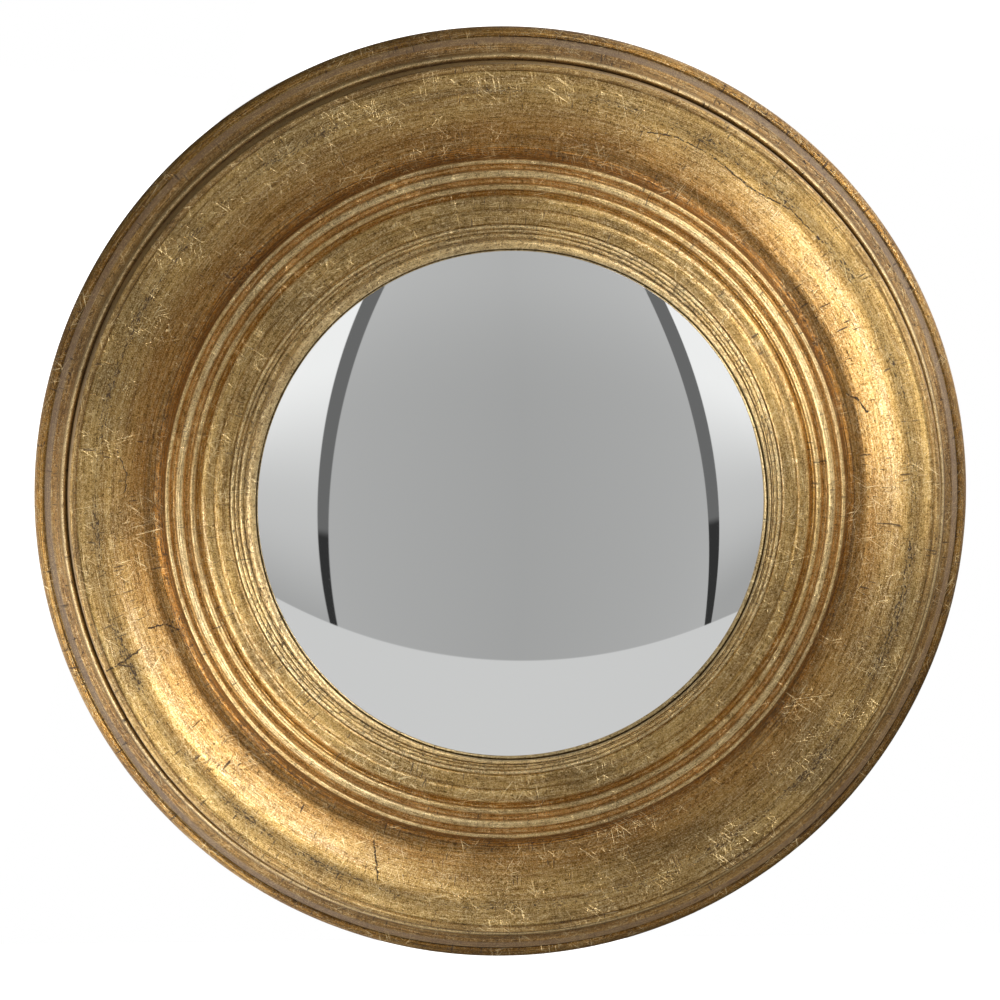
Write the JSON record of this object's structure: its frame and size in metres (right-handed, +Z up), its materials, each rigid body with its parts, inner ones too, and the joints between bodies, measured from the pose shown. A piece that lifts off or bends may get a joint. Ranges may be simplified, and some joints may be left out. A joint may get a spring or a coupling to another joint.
{
  "type": "convex butlers mirror",
  "caption": "Round gilded moulded frame around a domed convex mirror glass, closed by a backing board on turn buttons and hung from a strap hanger with a ring.",
  "frame": {"origin": "the point inside the top of the hanger ring's arch where the wall hook bears, at mount wall_hook", "axes": "+Y towards the wall, square to the mirror's face, so that the glass looks along -Y; +Z up; +X to the right as seen from the front. The mirror's own axis runs along Y, 175.7 mm below the origin"},
  "size_m": [0.39, 0.0686, 0.39],
  "materials": {
    "antique_gilt": "antiqued gold leaf over reddish bole on turned wood, wire brushed and lacquered",
    "silvered_glass": "silvered on the hollow side, polished",
    "foam_tape": "matt closed-cell foam",
    "bare_wood": "sawn fibreboard",
    "hardboard": "smooth hardboard",
    "brassed_steel": "brass-plated pressed steel",
    "zinc_screw": "bright zinc plate",
    "bumper_rubber": "matt soft rubber"
  },
  "bodies": {
    "mirror": {"frame": "antique_gilt", "mirror_glass": "silvered_glass", "glazing_gasket": "foam_tape", "spacer_ring": "bare_wood", "backing_board": "hardboard", "turn_button_screw_1": "zinc_screw", "turn_button_screw_2": "zinc_screw", "turn_button_screw_3": "zinc_screw", "turn_button_screw_4": "zinc_screw", "turn_button_screw_5": "zinc_screw", "turn_button_screw_6": "zinc_screw", "hanger_strap": "brassed_steel", "hanger_screw_1": "zinc_screw", "hanger_screw_2": "zinc_screw", "wall_bumper_1": "bumper_rubber", "wall_bumper_2": "bumper_rubber"},
    "button_1": {"turn_button_1": "brassed_steel"},
    "button_2": {"turn_button_2": "brassed_steel"},
    "button_3": {"turn_button_3": "brassed_steel"},
    "button_4": {"turn_button_4": "brassed_steel"},
    "button_5": {"turn_button_5": "brassed_steel"},
    "button_6": {"turn_button_6": "brassed_steel"},
    "ring": {"hanger_ring": "brassed_steel"}
  },
  "joints": [
    {"name": "button_1_turn", "type": "hinge", "parent": "mirror", "child": "button_1", "pos_m": [0.1281, 0, -0.1757], "axis": [0, 1, 0], "continuous": true},
    {"name": "button_2_turn", "type": "hinge", "parent": "mirror", "child": "button_2", "pos_m": [0.06405, 0, -0.06476], "axis": [0, 1, 0], "continuous": true},
    {"name": "button_3_turn", "type": "hinge", "parent": "mirror", "child": "button_3", "pos_m": [-0.06405, 0, -0.06476], "axis": [0, 1, 0], "continuous": true},
    {"name": "button_4_turn", "type": "hinge", "parent": "mirror", "child": "button_4", "pos_m": [-0.1281, 0, -0.1757], "axis": [0, 1, 0], "continuous": true},
    {"name": "button_5_turn", "type": "hinge", "parent": "mirror", "child": "button_5", "pos_m": [-0.06405, 0, -0.28664], "axis": [0, 1, 0], "continuous": true},
    {"name": "button_6_turn", "type": "hinge", "parent": "mirror", "child": "button_6", "pos_m": [0.06405, 0, -0.28664], "axis": [0, 1, 0], "continuous": true},
    {"name": "ring_swing", "type": "hinge", "parent": "mirror", "child": "ring", "pos_m": [0, 0.0014, -0.01865], "axis": [-1, 0, 0], "range_deg": [0, 175]}
  ]
}
